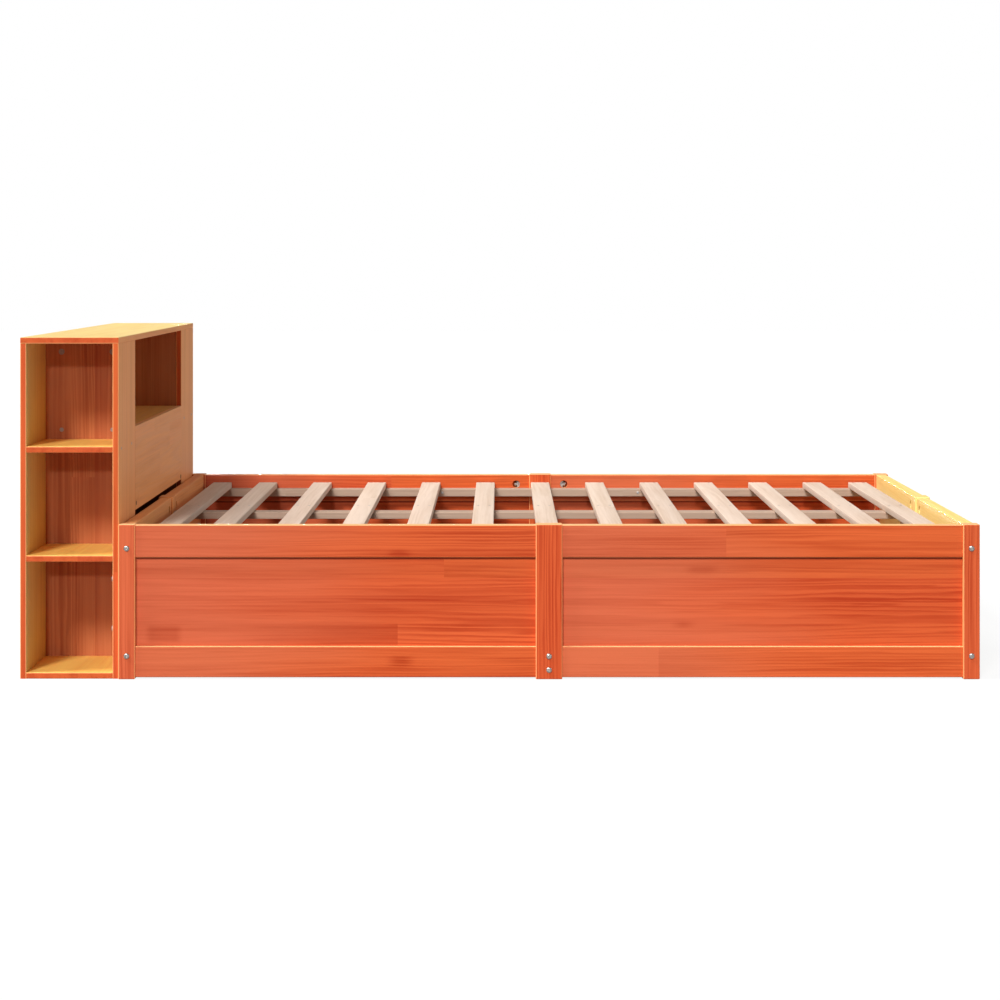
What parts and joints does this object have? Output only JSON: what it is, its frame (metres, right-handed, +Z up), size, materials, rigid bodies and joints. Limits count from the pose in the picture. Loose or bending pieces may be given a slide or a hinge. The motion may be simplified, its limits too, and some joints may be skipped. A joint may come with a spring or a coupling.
{
  "type": "bookcase headboard bed",
  "caption": "Stained pine double bed frame with panelled sides, a slatted base and a low bookcase headboard that opens to both ends and to the bed.",
  "frame": {"origin": "on the floor, below the middle of the whole bed's box", "axes": "+X from the bookcase to the foot end, +Y from the near long side to the far one, +Z up"},
  "size_m": [2.313, 1.482, 0.823],
  "materials": {
    "stained_pine": "satin",
    "plain_pine": "matte",
    "beech": "matte",
    "steel": "zinc plated"
  },
  "bodies": {
    "root": {"beam_cleats": "plain_pine", "beam_support": "plain_pine", "bed_screws": "steel", "bookcase_back": "stained_pine", "bookcase_top": "stained_pine", "cam_fittings": "steel", "case_screws": "steel", "centre_beam": "plain_pine", "cross_member": "plain_pine", "far_bottom_rails": "stained_pine", "far_bottom_shelf": "stained_pine", "far_centre_post": "stained_pine", "far_foot_post": "stained_pine", "far_head_post": "stained_pine", "far_ledgers": "plain_pine", "far_lower_shelf": "stained_pine", "far_panels": "stained_pine", "far_partition": "stained_pine", "far_stile": "stained_pine", "far_top_rails": "stained_pine", "far_upper_shelf": "stained_pine", "foot_bottom_rails": "stained_pine", "foot_centre_post": "stained_pine", "foot_panels": "stained_pine", "foot_top_rails": "stained_pine", "frame_bolts": "steel", "front_board": "stained_pine", "head_bottom_rails": "stained_pine", "head_centre_post": "stained_pine", "head_panels": "stained_pine", "head_top_rails": "stained_pine", "link_bolts": "steel", "near_bottom_rails": "stained_pine", "near_bottom_shelf": "stained_pine", "near_centre_post": "stained_pine", "near_foot_post": "stained_pine", "near_head_post": "stained_pine", "near_ledgers": "plain_pine", "near_lower_shelf": "stained_pine", "near_panels": "stained_pine", "near_partition": "stained_pine", "near_stile": "stained_pine", "near_top_rails": "stained_pine", "near_upper_shelf": "stained_pine", "nook_floor": "stained_pine", "slat_01": "plain_pine", "slat_02": "plain_pine", "slat_03": "plain_pine", "slat_04": "plain_pine", "slat_05": "plain_pine", "slat_06": "plain_pine", "slat_07": "plain_pine", "slat_08": "plain_pine", "slat_09": "plain_pine", "slat_10": "plain_pine", "slat_11": "plain_pine", "slat_12": "plain_pine", "slat_13": "plain_pine", "tie_rods": "steel", "wood_dowels": "beech"}
  },
  "joints": []
}
